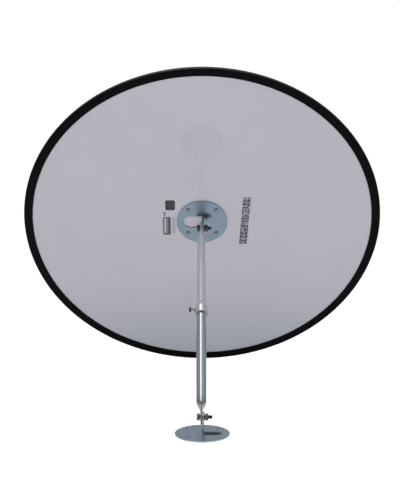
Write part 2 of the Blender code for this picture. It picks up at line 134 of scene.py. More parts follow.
# clamp screw and the pad under it
CLAMP_R = 0.0025
CLAMP_AF = 0.0080
CLAMP_HEAD_H = 0.0035
CLAMP_LENGTH = 0.0077
CLAMP_STATION = 0.2120
CLAMP_CLEARANCE_R = 0.0031
PAD_T = 0.0011

# small screws through the plates
SCREW_R = 0.0020
SCREW_HEAD_R = 0.0038
SCREW_HEAD_H = 0.0022
SCREW_NUT_H = 0.0032
STIFFENER_T = 0.0030
FIXING_R = 0.0335
FIXING_HOLE_R = SCREW_R + GAP

# telescopic tubes and collar; stations run along the arm from the base pivot
TUBE_WALL = 0.0007
FLAT_T = 0.0026
OUTER_R = 0.0080
OUTER_BORE_R = OUTER_R - TUBE_WALL
OUTER_END = 0.2190
INNER_R = OUTER_BORE_R - GAP
INNER_BORE_R = INNER_R - TUBE_WALL
INNER_START = 0.1520
COLLAR_R = 0.0110
COLLAR_START = 0.2020
COLLAR_SHOULDER = 0.2165
COLLAR_END = 0.2255

# heights in the head frame
BACK = -HUB_PIVOT_H  # outer face of the back sheet
UNDER_PANEL = BACK - PANEL_T - GAP  # top of the dome flange and of the stiffener
FLANGE_LOW = UNDER_PANEL - DOME_T
SLOT_TOP = BACK + GAP
SLOT_LOW = FLANGE_LOW - GAP

# segments round a part
RIM_SEGMENTS = 256
TUBE_SEGMENTS = 128
FASTENER_SEGMENTS = 48


# ------------------------------------------------------------------ mesh tools
def shade(mesh, angle):
    """Shade smooth, with edges over angle degrees kept sharp."""
    mesh.shade_smooth()
    mesh.set_sharp_from_angle(angle=math.radians(angle))


def loft(rings, closed=False, smooth_angle=32.0):
    """Join equal rings of points; the ends are capped, or joined when closed."""
    build = bmesh.new()
    loops = [[build.verts.new(point) for point in ring] for ring in rings]
    count = len(loops[0])
    pairs = list(zip(loops, loops[1:]))
    if closed:
        pairs.append((loops[-1], loops[0]))
    for low, high in pairs:
        for i in range(count):
            j = (i + 1) % count
            build.faces.new((low[i], low[j], high[j], high[i]))
    if not closed:
        build.faces.new(list(reversed(loops[0])))
        build.faces.new(loops[-1])
    bmesh.ops.recalc_face_normals(build, faces=build.faces)
    mesh = bpy.data.meshes.new("piece")
    build.to_mesh(mesh)
    build.free()
    shade(mesh, smooth_angle)
    return mesh


def circle(radius, z, count=FASTENER_SEGMENTS):
    step = 2.0 * math.pi / count
    return [(radius * math.cos(i * step), radius * math.sin(i * step), z) for i in range(count)]


def turned(profile, count, closed=False):
    """Turn a profile of (radius, z) points about z."""
    return loft([circle(radius, z, count) for radius, z in profile], closed)


def arc(centre_r, centre_z, radius, start, end, steps):
    """Profile points along an arc, angles in degrees."""
    points = []
    for k in range(steps + 1):
        angle = math.radians(start + (end - start) * k / steps)
        points.append((centre_r + radius * math.cos(angle), centre_z + radius * math.sin(angle)))
    return points


def rounded_rim(outer_r, low, high, edge, steps):
    """Profile of a disc's rounded rim, low to high."""
    return (arc(outer_r - edge, low + edge, edge, -90.0, 0.0, steps)
            + arc(outer_r - edge, high - edge, edge, 0.0, 90.0, steps))


def place(name, mesh, matrix):
    mesh.name = name
    piece = bpy.data.objects.new(name, mesh)
    scene.collection.objects.link(piece)
    piece.matrix_world = matrix
    return piece


def apply_modifiers(piece):
    bpy.context.view_layer.update()
    graph = bpy.context.evaluated_depsgraph_get()
    done = bpy.data.meshes.new_from_object(piece.evaluated_get(graph))
    piece.modifiers.clear()
    piece.data = done


def drop_slivers(mesh, size=0.000001):
    """Merge the sliver faces that cuts and bevels leave."""
    clean = bmesh.new()
    clean.from_mesh(mesh)
    bmesh.ops.remove_doubles(clean, verts=clean.verts, dist=size)
    bmesh.ops.dissolve_degenerate(clean, edges=clean.edges, dist=size)
    clean.to_mesh(mesh)
    clean.free()


def drill(matrix, radius, low, high, count):
    """A cylindrical cut for carve()."""
    return "DIFFERENCE", place("drill", turned([(radius, low), (radius, high)], count), matrix)


def carve(piece, tools):
    """Apply (operation, tool) booleans in order, then remove the tools."""
    for operation, tool in tools:
        mod = piece.modifiers.new("carve", "BOOLEAN")
        mod.operation = operation
        mod.solver = "EXACT"
        mod.object = tool
    apply_modifiers(piece)
    drop_slivers(piece.data)
    for _, tool in tools:
        bpy.data.objects.remove(tool, do_unlink=True)


def soften_edges(piece, width):
    """Small radius on the sharp edges, applied."""
    mod = piece.modifiers.new("edge", "BEVEL")
    mod.width = width
    mod.segments = 2
    mod.limit_method = "ANGLE"
    mod.angle_limit = math.radians(35.0)
    mod.use_clamp_overlap = True
    mod.harden_normals = False
    apply_modifiers(piece)
    drop_slivers(piece.data)
    shade(piece.data, 38.0)


def into_row_frame(piece):
    """Put the mesh in the row frame, and keep its own axes as an attribute."""
    mesh = piece.data
    own = mesh.attributes.new("own_axes", "FLOAT_VECTOR", "POINT")
    values = [0.0] * (3 * len(mesh.vertices))
    mesh.vertices.foreach_get("co", values)
    own.data.foreach_set("vector", values)
    mesh.transform(piece.matrix_world)
    mesh.update()
    piece.matrix_world = Matrix.Identity(4)


def flat_stays_flat(piece):
    """Weight the normals by face area, so wide faces shade flat up to their
    small rounded edges."""
    mod = piece.modifiers.new("faces", "WEIGHTED_NORMAL")
    mod.mode = "FACE_AREA"
    mod.weight = 90
    mod.keep_sharp = True
    apply_modifiers(piece)


def stand_in(piece, body, material):
    """Let piece "<node>_fine" replace CAD node <node> and ride on body."""
    flat_stays_flat(piece)
    piece.data.materials.clear()
    piece.data.materials.append(material)
    into_row_frame(piece)
    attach(piece, body)
    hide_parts(piece.name.removesuffix("_fine"))


# ------------------------------------------------------------------ node tools
class Nodes:
    """Short helpers for building a node tree."""

    def __init__(self, tree):
        self.tree = tree

    def node(self, kind, **props):
        node = self.tree.nodes.new(kind)
        for key, value in props.items():
            setattr(node, key, value)
        return node

    def link(self, source, socket):
        self.tree.links.new(source, socket)

    def put(self, socket, value):
        """Link an output socket, or set a plain value."""
        if isinstance(value, bpy.types.NodeSocket):
            self.link(value, socket)
        else:
            socket.default_value = value

    def fill(self, node, values):
        """Fill the first inputs in order; return the first output."""
        for socket, value in zip(node.inputs, values):
            self.put(socket, value)
        return node.outputs[0]

    def math(self, operation, *operands):
        return self.fill(self.node("ShaderNodeMath", operation=operation), operands)

    def both(self, first, second):
        return self.math("MULTIPLY", first, second)

    def either(self, first, second):
        return self.math("MAXIMUM", first, second)

    def xyz(self, vector):
        node = self.node("ShaderNodeSeparateXYZ")
        self.link(vector, node.inputs[0])
        return node.outputs

    def remap(self, value, source, to, smooth=False):
        """Map the source range to another, clamped."""
        node = self.node("ShaderNodeMapRange")
        if smooth:
            node.interpolation_type = "SMOOTHSTEP"
        self.link(value, node.inputs["Value"])
        for key, limit in zip(("From Min", "From Max", "To Min", "To Max"), (*source, *to)):
            node.inputs[key].default_value = limit
        return node.outputs["Result"]

    def mix(self, factor, first, second, blend="MIX"):
        """Mix two colours, each a socket or an RGB tuple."""
        node = self.node("ShaderNodeMix", data_type="RGBA", blend_type=blend)
        self.put(node.inputs[0], factor)
        for socket, colour in ((node.inputs[6], first), (node.inputs[7], second)):
            self.put(socket, (*colour, 1.0) if isinstance(colour, tuple) else colour)
        return node.outputs[2]

    def shader(self, kind, **inputs):
        node = self.node(kind)
        for key, value in inputs.items():
            self.put(node.inputs[key], value)
        return node.outputs[0]

    def mix_shader(self, factor, first, second):
        return self.fill(self.node("ShaderNodeMixShader"), (factor, first, second))


class Material(Nodes):
    """A Principled material that reads the piece's own axes, or its object
    coordinates when own_axes is off."""

    def __init__(self, name, own_axes=True):
        self.mat = bpy.data.materials.new(name)
        self.mat.use_nodes = True
        super().__init__(self.mat.node_tree)
        self.bsdf = self.tree.nodes["Principled BSDF"]
        if own_axes:
            source = self.node("ShaderNodeAttribute", attribute_name="own_axes")
            self.place = source.outputs["Vector"]
        else:
            self.place = self.node("ShaderNodeTexCoord").outputs["Object"]

    def math(self, operation, *operands):
        """As in Nodes, with the unused inputs at zero."""
        return super().math(operation, *operands, *(0.0,) * (3 - len(operands)))

    def combine(self, x, y, z):
        return self.fill(self.node("ShaderNodeCombineXYZ"), (x, y, z))

    def scaled(self, scale):
        node = self.node("ShaderNodeMapping")
        self.link(self.place, node.inputs["Vector"])
        node.inputs["Scale"].default_value = scale
        return node.outputs[0]

    def noise(self, scale, detail, rough, vector=None, distortion=0.0):
        node = self.node("ShaderNodeTexNoise")
        self.link(vector or self.place, node.inputs["Vector"])
        node.inputs["Scale"].default_value = scale
        node.inputs["Detail"].default_value = detail
        node.inputs["Roughness"].default_value = rough
        node.inputs["Distortion"].default_value = distortion
        return node.outputs["Fac"]

    def bump(self, height, strength, distance, normal=None):
        node = self.node("ShaderNodeBump")
        node.inputs["Strength"].default_value = strength
        node.inputs["Distance"].default_value = distance
        self.link(height, node.inputs["Height"])
        if normal is not None:
            self.link(normal, node.inputs["Normal"])
        return node.outputs["Normal"]

    def distance(self, x, y):
        squares = self.math("ADD", self.math("MULTIPLY", x, x), self.math("MULTIPLY", y, y))
        return self.math("SQRT", squares)

    def box(self, x, y, centre, size):
        """1 inside a rectangle, 0 outside."""
        return self.both(self.math("COMPARE", x, centre[0], size[0] / 2.0),
                         self.math("COMPARE", y, centre[1], size[1] / 2.0))

    def edge_wear(self, radius, amount):
        """amount on edges, 0 on flats."""
        bevel = self.node("ShaderNodeBevel", samples=4)
        bevel.inputs["Radius"].default_value = radius
        geometry = self.node("ShaderNodeNewGeometry")
        dot = self.node("ShaderNodeVectorMath", operation="DOT_PRODUCT")
        self.link(bevel.outputs["Normal"], dot.inputs[0])
        self.link(geometry.outputs["Normal"], dot.inputs[1])
        return self.remap(dot.outputs["Value"], source=(0.86, 0.995), to=(amount, 0.0))

    def surface(self, colour, rough, normal, **extra):
        """Connect the shader; extra inputs are named with underscores for spaces."""
        self.put(self.bsdf.inputs["Base Color"], colour)
        self.put(self.bsdf.inputs["Roughness"], rough)
        self.put(self.bsdf.inputs["Normal"], normal)
        for key, value in extra.items():
            self.put(self.bsdf.inputs[key.replace("_", " ")], value)
        return self.mat


# ------------------------------------------------------------------ materials
SPAN = (0.3, 0.7)  # the range most noise values fall in
FULL = (0.0, 1.0)


def tint(colour, *factors):
    return tuple(min(1.0, part * factor) for part, factor in zip(colour, factors))


def zinc(name, colour, rough, mottle, wear, grain_scale=(1.0, 1.0, 1.0), own_axes=True,
         painted_shade_zone=None):
    """Plated metal: cloudy passivation, fine grain, paler edges, and optionally a painted shade.
    painted_shade_zone = (z of full darkening, z where it ends, factor): colour darkened along own z
    as painted shade."""
    mat = Material(name, own_axes)
    cloud = mat.noise(scale=34.0, detail=4.0, rough=0.55, distortion=0.6)
    grain = mat.noise(scale=900.0, detail=2.0, rough=0.6, vector=mat.scaled(grain_scale))
    fine = mat.noise(scale=4200.0, detail=2.0, rough=0.5)
    dark = tint(colour, *[1.0 - mottle] * 3)
    pale = tint(colour, *[1.0 + mottle] * 3)
    tone = mat.mix(mat.remap(cloud, source=(0.32, 0.68), to=FULL), dark, pale)
    warm = mat.noise(scale=11.0, detail=2.0, rough=0.5)
    warm_share = mat.remap(warm, source=(0.45, 0.75), to=(0.0, 0.22))
    tone = mat.mix(warm_share, tone, tint(colour, 1.10, 1.02, 0.90))
    tone = mat.mix(mat.edge_wear(radius=0.0003, amount=wear), tone,
                   tint(colour, 1.5, 1.47, 1.45))
    # painted shade: the colour is darkened by factor beyond a given own z
    if painted_shade_zone is not None:
        full_z, end_z, factor = painted_shade_zone
        along = mat.remap(mat.xyz(mat.place)[2], source=(full_z, end_z), to=(factor, 1.0))
        tone = mat.mix(1.0, tone, mat.combine(along, along, along), blend="MULTIPLY")
    roughness = mat.math("ADD", mat.remap(grain, source=SPAN, to=(rough * 0.82, rough * 1.15)),
                         mat.remap(cloud, source=SPAN, to=(-0.03, 0.03)))
    normal = mat.bump(grain, strength=0.10, distance=0.00006)
    normal = mat.bump(fine, strength=0.06, distance=0.00003, normal=normal)
    return mat.surface(tone, roughness, normal, Metallic=1.0)


def rubber():
    """Extruded black trim: lines run around the rim, slight bloom."""
    mat = Material("trim_rubber")
    x, y, z = mat.xyz(mat.place)
    radius = mat.distance(x, y)
    angle = mat.math("ARCTAN2", y, x)
    # scales of radius, height and angle: the angle hardly counts, so the noise
    # is drawn out into lines round the rim
    around = mat.combine(mat.math("MULTIPLY", radius, 1.0), mat.math("MULTIPLY", z, 1.0),
                         mat.math("MULTIPLY", angle, 0.004))
    lines = mat.noise(scale=2600.0, detail=2.0, rough=0.6, vector=around)
    specks = mat.noise(scale=1500.0, detail=3.0, rough=0.65)
    bloom = mat.noise(scale=16.0, detail=3.0, rough=0.5)
    tone = mat.mix(mat.remap(bloom, source=(0.4, 0.7), to=(0.0, 0.5)),
                   (0.0016, 0.0013, 0.0018), (0.0030, 0.0026, 0.0033))
    rough = mat.math("ADD", mat.remap(specks, source=SPAN, to=(0.40, 0.54)),
                     mat.remap(bloom, source=SPAN, to=(-0.03, 0.05)))
    # the outer bead's upper side gets full specular: a painted highlight standing in for the light
    # from above
    geometry = mat.node("ShaderNodeNewGeometry")
    upward = mat.xyz(geometry.outputs["Normal"])[2]
    painted_top_sheen = mat.both(mat.remap(radius, source=(0.2965, 0.2985), to=FULL),
                    mat.remap(upward, source=(0.05, 0.65), to=FULL))
    specular = mat.remap(painted_top_sheen, source=FULL, to=(0.07, 1.0))
    normal = mat.bump(lines, strength=0.20, distance=0.00008)
    normal = mat.bump(specks, strength=0.12, distance=0.00005, normal=normal)
    return mat.surface(tone, rough, normal, Specular_IOR_Level=specular)


def rounded_block(mat, x, y, centre, straight, corner):
    """1 inside a rounded rectangle; straight is half its size inside the corners."""
    beyond = []
    for value, middle, half in zip((x, y), centre, straight):
        away = mat.math("ABSOLUTE", mat.math("SUBTRACT", value, middle))
        beyond.append(mat.math("MAXIMUM", mat.math("SUBTRACT", away, half), 0.0))
    return mat.math("LESS_THAN", mat.distance(*beyond), corner)


def dot_strip(mat, x, y):
    """A strip of a generic dot code, slightly askew: (strip, dots) masks."""
    centre_x, centre_y = 0.0722, 0.0006
    cosine, sine = math.cos(math.radians(-3.5)), math.sin(math.radians(-3.5))
    cell = 0.0026  # dot pitch
    dot_half = 0.45  # half a dot, in cells
    group = 0.0074  # pitch of the gaps across the strip
    gap_share = 0.16

    def turned_axis(operation, first, first_centre, second, second_centre):
        return mat.math(
            operation,
            mat.math("MULTIPLY", mat.math("SUBTRACT", first, first_centre), cosine),
            mat.math("MULTIPLY", mat.math("SUBTRACT", second, second_centre), sine))

    def off_centre(value):
        return mat.math("ABSOLUTE", mat.math("SUBTRACT", mat.math("FRACT", value), 0.5))

    across = turned_axis("ADD", x, centre_x, y, centre_y)
    along = turned_axis("SUBTRACT", y, centre_y, x, centre_x)
    strip = mat.box(across, along, centre=(0.0, 0.0), size=(0.0130, 0.0960))
    column = mat.math("ADD", mat.math("DIVIDE", across, cell), 0.5)
    column_index = mat.math("FLOOR", column)
    row_index = mat.math("FLOOR", mat.math("DIVIDE", along, cell))
    white = mat.node("ShaderNodeTexWhiteNoise", noise_dimensions="2D")
    mat.link(mat.combine(column_index, row_index, 0.0), white.inputs["Vector"])
    printed = mat.math("GREATER_THAN", white.outputs["Value"], 0.25)
    beside = off_centre(column)
    above = off_centre(mat.math("DIVIDE", along, cell))
    inside = mat.both(mat.math("LESS_THAN", beside, dot_half),
                      mat.math("LESS_THAN", above, dot_half))
    groups = mat.math("GREATER_THAN", mat.math("FRACT", mat.math("DIVIDE", along, group)),
                      gap_share)
    return strip, mat.both(mat.both(strip, printed), mat.both(inside, groups))


def panel():
    """Glossy moulded back sheet, with plain printed marks that carry no text."""
    mat = Material("back_panel_sheet")
    x, y, _ = mat.xyz(mat.place)
    cloud = mat.noise(scale=7.0, detail=3.0, rough=0.5)
    flecks = mat.noise(scale=260.0, detail=3.0, rough=0.6)
    tone = mat.mix(mat.remap(cloud, source=(0.35, 0.65), to=FULL),
                   (0.470, 0.464, 0.515), (0.485, 0.478, 0.530))
    tone = mat.mix(mat.remap(flecks, source=(0.62, 0.78), to=(0.0, 0.10)), tone,
                   (0.34, 0.34, 0.37))
    # the -y part, towards the foot of the mirror, is painted darker and cooler: painted shade from
    # the ground below
    tone = mat.mix(mat.remap(y, source=(-0.12, -0.27), to=FULL), tone,
                   (0.879, 0.926, 0.931), blend="MULTIPLY")

    block = rounded_block(mat, x, y, centre=(-0.0538, 0.0325), straight=(0.0052, 0.0072),
                          corner=0.0030)
    bar = mat.box(x, y, centre=(-0.0632, 0.0150), size=(0.0030, 0.0085))
    rules = mat.either(mat.box(x, y, centre=(-0.0492, -0.0085), size=(0.0016, 0.0340)),
                       mat.box(x, y, centre=(-0.0460, -0.0085), size=(0.0013, 0.0340)))
    strip, dots = dot_strip(mat, x, y)
    # mask, how densely it is printed, ink colour
    for mask, density, ink in (
        (block, 0.97, (0.012, 0.012, 0.016)),
        (bar, 0.75, (0.03, 0.03, 0.035)),
        (rules, 0.62, (0.10, 0.11, 0.12)),
        (strip, 0.55, (0.16, 0.19, 0.21)),
        (dots, 0.98, (0.014, 0.019, 0.022)),
    ):
        tone = mat.mix(mat.math("MULTIPLY", mask, density), tone, ink)
    printed = mat.either(mat.either(block, bar), dots)
    rough = mat.math("ADD", mat.remap(cloud, source=SPAN, to=(0.004, 0.010)),
                     mat.math("MULTIPLY", printed, 0.25))
    peel = mat.noise(scale=150.0, detail=2.0, rough=0.5)
    return mat.surface(tone, rough, mat.bump(peel, strength=0.02, distance=0.00002), IOR=1.50)


def silvered():
    """Clear acrylic over a silvered back: faint long waves and a little dust."""
    mat = Material("silvered_acrylic")
    dust = mat.noise(scale=120.0, detail=5.0, rough=0.7)
    haze = mat.noise(scale=6.0, detail=3.0, rough=0.5)
    tone = mat.mix(mat.remap(dust, source=(0.60, 0.80), to=(0.0, 0.10)),
                   (0.86, 0.88, 0.90), (0.70, 0.71, 0.72))
    rough = mat.math("ADD", mat.remap(haze, source=SPAN, to=(0.012, 0.030)),
                     mat.remap(dust, source=(0.60, 0.85), to=(0.0, 0.05)))
    wave = mat.noise(scale=9.0, detail=1.0, rough=0.4)
    return mat.surface(tone, rough, mat.bump(wave, strength=0.05, distance=0.0006),
                       Metallic=1.0, Coat_Weight=1.0, Coat_Roughness=0.01, Coat_IOR=1.49)


def sticker():
    """Blank film label: pale field, printed frame and plain bars."""
    mat = Material("film_label")
    x, y, _ = mat.xyz(mat.place)
    inner = mat.box(x, y, centre=(0.0, 0.0), size=(0.0104, 0.0346))
    pale = mat.box(x, y, centre=(-0.0028, 0.0004), size=(0.0030, 0.0300))
    heavy = mat.box(x, y, centre=(0.0038, 0.0), size=(0.0026, 0.0350))
    fleck = mat.noise(scale=420.0, detail=3.0, rough=0.6)
    field = mat.mix(mat.remap(fleck, source=(0.35, 0.7), to=FULL),
                    (0.150, 0.160, 0.168), (0.205, 0.215, 0.224))
    tone = mat.mix(inner, (0.085, 0.088, 0.092), field)
    tone = mat.mix(pale, tone, (0.40, 0.40, 0.44))
    tone = mat.mix(heavy, tone, (0.055, 0.056, 0.060))
    foot = mat.box(x, y, centre=(0.0012, -0.0162), size=(0.0090, 0.0022))
    tone = mat.mix(foot, tone, (0.070, 0.072, 0.076))
    rough = mat.remap(fleck, source=SPAN, to=(0.30, 0.42))
    return mat.surface(tone, rough, mat.bump(fleck, strength=0.05, distance=0.00004))


def plywood():
    mat = Material("plywood_disc", own_axes=False)
    grain = mat.noise(scale=60.0, detail=5.0, rough=0.6, distortion=0.8,
                      vector=mat.scaled((1.0, 14.0, 14.0)))
    tone = mat.mix(mat.remap(grain, source=SPAN, to=FULL), (0.30, 0.19, 0.10), (0.56, 0.41, 0.25))
    rough = mat.remap(grain, source=SPAN, to=(0.62, 0.8))
    return mat.surface(tone, rough, mat.bump(grain, strength=0.25, distance=0.0002))


def moulded(name, colour, rough):
    """Moulded plastic with a faint skin texture."""
    mat = Material(name, own_axes=False)
    texture = mat.noise(scale=900.0, detail=3.0, rough=0.6)
    cloud = mat.noise(scale=60.0, detail=2.0, rough=0.5)
    tone = mat.mix(mat.remap(cloud, source=SPAN, to=FULL), tint(colour, 0.92, 0.92, 0.92), colour)
    roughness = mat.remap(texture, source=SPAN, to=(rough * 0.9, rough * 1.1))
    return mat.surface(tone, roughness, mat.bump(texture, strength=0.08, distance=0.00005))


DRAWN_GRAIN = (1.0, 1.0, 0.02)  # long streaks along the tube
HUB_PLATE_ZINC = zinc("zinc_hub_plate", colour=(0.257, 0.329, 0.398), rough=0.24,
                      mottle=0.06, wear=0.20)
# the tab above the plate is painted darker: painted shade
BASE_PLATE_ZINC = zinc("zinc_base_plate", colour=(0.435, 0.520, 0.570), rough=0.34,
                       mottle=0.05, wear=0.20, painted_shade_zone=(0.0060, 0.0030, 0.62))
# the flattened end at the base pivot and its taper are painted darker: painted shade
OUTER_TUBE_ZINC = zinc("zinc_outer_tube", colour=(0.55, 0.60, 0.63), rough=0.10,
                       mottle=0.04, wear=0.25, grain_scale=DRAWN_GRAIN,
                       painted_shade_zone=(0.0140, 0.0400, 0.50))
INNER_TUBE_ZINC = zinc("zinc_inner_tube", colour=(0.80, 0.80, 0.84), rough=0.50,
                       mottle=0.04, wear=0.25, grain_scale=DRAWN_GRAIN)
# the collar's lower end face is painted darker: painted shade
COLLAR_ZINC = zinc("zinc_collar", colour=(0.79, 0.81, 0.83), rough=0.28,
                   mottle=0.04, wear=0.05, grain_scale=(1.0, 1.0, 6.0),
                   painted_shade_zone=(COLLAR_START, COLLAR_START + 0.0005, 0.50))
FASTENER_ZINC = zinc("zinc_fasteners", colour=(0.115, 0.118, 0.130), rough=0.32,
                     mottle=0.10, wear=0.40)
# the hexagon head, below own z 0, is painted much darker than the shank: painted shade
CLAMP_ZINC = zinc("zinc_clamp_screw", colour=(0.60, 0.64, 0.68), rough=0.36,
                  mottle=0.08, wear=0.05, painted_shade_zone=(0.0, 0.0001, 0.14))
SCREW_ZINC = zinc("zinc_screws", colour=(0.34, 0.37, 0.40), rough=0.28,
                  mottle=0.10, wear=0.40)
RUBBER = rubber()
PANEL_SHEET = panel()
SILVER = silvered()
LABEL_FILM = sticker()


# ------------------------------------------------------------------ mirror head
def fixing_places(z=0.0):
    """The four screw places round a plate's centre, as (angle, translation)."""
    for k in range(4):
        angle = math.radians(45.0 + 90.0 * k)
        yield angle, Matrix.Translation((FIXING_R * math.cos(angle), FIXING_R * math.sin(angle), z))


def build_back_panel():
    """Round sheet, drilled for the four screws."""
    rim = rounded_rim(PANEL_R, BACK - PANEL_T, BACK, edge=0.0006, steps=4)
    low_r, low_z = rim[0]
    high_r, high_z = rim[-1]
    # the flat faces are filled with rings down to a cap a third of the radius
    low_face = [(low_r * k / 3, low_z) for k in (1, 2)]
    high_face = [(high_r * k / 3, high_z) for k in (2, 1)]
    piece = place("back_panel_fine", turned(low_face + rim + high_face, RIM_SEGMENTS), HEAD)
    carve(piece, [drill(HEAD @ spot, FIXING_HOLE_R, BACK - 0.004, BACK + 0.002, 32)
                  for _, spot in fixing_places()])
    shade(piece.data, 32.0)
    stand_in(piece, "mirror_head", PANEL_SHEET)


def build_dome():
    """Spherical shell standing on a flat flange."""
    steps = 44
    cap_share = 0.008  # the pole is closed by a small flat cap
    outer_sphere = (DOME_R ** 2 + DOME_DEPTH ** 2) / (2.0 * DOME_DEPTH)
    inner_sphere = outer_sphere - DOME_T
    centre_z = FLANGE_LOW - DOME_DEPTH + outer_sphere

    def shell(sphere_r, half_angle):
        points = []
        for k in range(steps + 1):
            angle = half_angle * (cap_share + (1.0 - cap_share) * k / steps)
            points.append((sphere_r * math.sin(angle), centre_z - sphere_r * math.cos(angle)))
        return points

    profile = shell(outer_sphere, math.asin(DOME_R / outer_sphere))
    profile += rounded_rim(PANEL_R, FLANGE_LOW, UNDER_PANEL, edge=0.0005, steps=3)
    profile += reversed(shell(inner_sphere, math.acos((centre_z - UNDER_PANEL) / inner_sphere)))
    piece = place("mirror_dome_fine", turned(profile, RIM_SEGMENTS), HEAD)
    stand_in(piece, "mirror_head", SILVER)


def build_trim():
    """U-shaped rubber extrusion bent round the rim; its two ends meet at -y with
    a hairline gap."""
    lip_high = SLOT_TOP + LIP_T
    lip_low = SLOT_LOW - LIP_T
    round_r = MIRROR_R - 0.00006 - TRIM_ROUND  # centre of the outer rounding
    lip_edge = 0.0006
    lip_stations = (TRIM_LIP_R + 0.0030, TRIM_LIP_R + 0.0065)
    profile = [(TRIM_LIP_R, SLOT_TOP)]
    profile += arc(TRIM_LIP_R + lip_edge, lip_high - lip_edge, lip_edge, 180.0, 90.0, 4)
    profile += [(radius, lip_high) for radius in lip_stations]
    profile += arc(round_r, lip_high - TRIM_ROUND, TRIM_ROUND, 90.0, 0.0, 12)
    profile += arc(round_r, lip_low + TRIM_ROUND, TRIM_ROUND, 0.0, -90.0, 12)
    profile += [(radius, lip_low) for radius in reversed(lip_stations)]
    profile += arc(TRIM_LIP_R + lip_edge, lip_low + lip_edge, lip_edge, -90.0, -180.0, 4)
    profile += [(TRIM_LIP_R, SLOT_LOW), (TRIM_SLOT_R, SLOT_LOW), (TRIM_SLOT_R, SLOT_TOP)]

    steps = 288
    joint = TRIM_JOINT / MIRROR_R  # as an angle
    sections = []
    for i in range(steps + 1):
        angle = -math.pi / 2.0 + joint / 2.0 + (2.0 * math.pi - joint) * i / steps
        sections.append([(radius * math.cos(angle), radius * math.sin(angle), z)
                         for radius, z in profile])
    piece = place("edge_trim_fine", loft(sections, smooth_angle=40.0), HEAD)
    stand_in(piece, "mirror_head", RUBBER)


def rounded_outline(width, height, corner):
    steps = 10
    points = []
    for side_x, side_y, start in ((1, 1, 0), (-1, 1, 90), (-1, -1, 180), (1, -1, 270)):
        for k in range(steps + 1):
            angle = math.radians(start + 90.0 * k / steps)
            points.append((side_x * (width / 2 - corner) + corner * math.cos(angle),
                           side_y * (height / 2 - corner) + corner * math.sin(angle)))
    return points


def build_label():
    """Film label with rounded corners, beside the hub plate."""
    rings = []
    for inset, z in ((0.0, 0.0), (0.0, LABEL_T * 0.6), (0.00008, LABEL_T)):
        outline = rounded_outline(LABEL_W - 2 * inset, LABEL_H - 2 * inset, LABEL_CORNER - inset)
        rings.append([(x, y, z) for x, y in outline])
    spot = HEAD @ Matrix.Translation((*LABEL_AT, BACK + GAP))
    piece = place("back_label_fine", loft(rings), spot)
    stand_in(piece, "mirror_head", LABEL_FILM)


build_back_panel()
build_dome()
build_trim()
build_label()


# ------------------------------------------------------------------ punched plates
def window_tool(matrix, low_z, high_z, near, side):
    """The round-ended window the tongue leaves, from near towards side."""
    half = TONGUE_W / 2.0 + GAP
    far = side * (WINDOW_END - half)
    outline = [(near, -half), (far, -half)]
    for k in range(1, 32):
        angle = math.radians(-90.0 + 180.0 * k / 32)
        outline.append((far + side * half * math.cos(angle), half * math.sin(angle)))
    outline += [(far, half), (near, half)]
    rings = [[(x, y, z) for x, y in outline] for z in (low_z - 0.001, high_z + 0.001)]
    return place("window", loft(rings), matrix)


def tab_tool(matrix, low_z, high_z, near, side, tab_height):
    """The bend and the tab, with the tab's end rounded."""
    inner = []
    outer = []
    for k in range(13):
        angle = math.radians(90.0 * k / 12)
        outer_r = BEND_R + PLATE_T
        inner.append((near + side * BEND_R * math.sin(angle),
                      high_z + BEND_R * (1.0 - math.cos(angle))))
        outer.append((near + side * outer_r * math.sin(angle),
                      high_z + BEND_R - outer_r * math.cos(angle)))
    inner_x, outer_x = (TAB_LOW_X, TAB_HIGH_X) if side > 0 else (TAB_HIGH_X, TAB_LOW_X)
    top = high_z + tab_height
    stub = near - side * 0.0030  # overlap with the plate
    section = [(stub, high_z)] + inner + [(inner_x, top), (outer_x, top)]
    section += list(reversed(outer)) + [(stub, low_z)]
    tab = place("tab", loft([[(x, y, z) for x, z in section]
                             for y in (-TONGUE_W / 2.0, TONGUE_W / 2.0)]), matrix)

    end_r = TONGUE_W / 2.0 - 0.0001
    clear = 0.014  # half width of the tool below the rounded end
    profile = [(-clear, low_z - 0.004), (clear, low_z - 0.004),
               (clear, top - end_r * 1.2), (end_r, top - end_r)]
    for k in range(1, 32):
        angle = math.radians(180.0 * k / 32)
        profile.append((end_r * math.cos(angle), top - end_r + (end_r - 0.0001) * math.sin(angle)))
    profile += [(-end_r, top - end_r), (-clear, top - end_r * 1.2)]
    rounding = loft([[(x, y, z) for y, z in profile] for x in (-0.02, 0.02)])
    carve(tab, [("INTERSECT", place("rounding", rounding, matrix))])
    return tab


def tongue_plate(name, matrix, low_z, tab_height, pivot_height, side):
    """Round plate with a tongue punched out and bent up 90 degrees; the window
    lies on the side (+1 or -1) of x."""
    high_z = low_z + PLATE_T
    rim = rounded_rim(PLATE_R, low_z, high_z, edge=0.00045, steps=4)
    piece = place(name, turned(rim, 160), matrix)
    near = (TAB_LOW_X if side > 0 else TAB_HIGH_X) - side * BEND_R
    pivot = matrix @ Matrix.Translation((0.0, 0.0, pivot_height)) @ ONTO_X
    tools = [
        ("DIFFERENCE", window_tool(matrix, low_z, high_z, near, side)),
        ("UNION", tab_tool(matrix, low_z, high_z, near, side, tab_height)),
        drill(pivot, BOLT_HOLE_R, -0.012, 0.012, 48),
    ]
    for _, spot in fixing_places():
        tools.append(drill(matrix @ spot, FIXING_HOLE_R, low_z - 0.001, high_z + 0.001, 40))
    carve(piece, tools)
    soften_edges(piece, width=0.00018)
    return piece


base_plate = tongue_plate("base_plate_fine", BASE, low_z=0.0, tab_height=BASE_TAB_H,
                          pivot_height=BASE_PIVOT.z, side=1.0)
stand_in(base_plate, "base", BASE_PLATE_ZINC)
hub_plate = tongue_plate("hub_plate_fine", HEAD, low_z=BACK + GAP, tab_height=HUB_TAB_H,
                         pivot_height=0.0, side=-1.0)
stand_in(hub_plate, "mirror_head", HUB_PLATE_ZINC)

# ------------------------------------------------------------------ fasteners
HEX_FACE_SHARE = 0.475  # radius of the flat face on a hexagon, of its across-flats


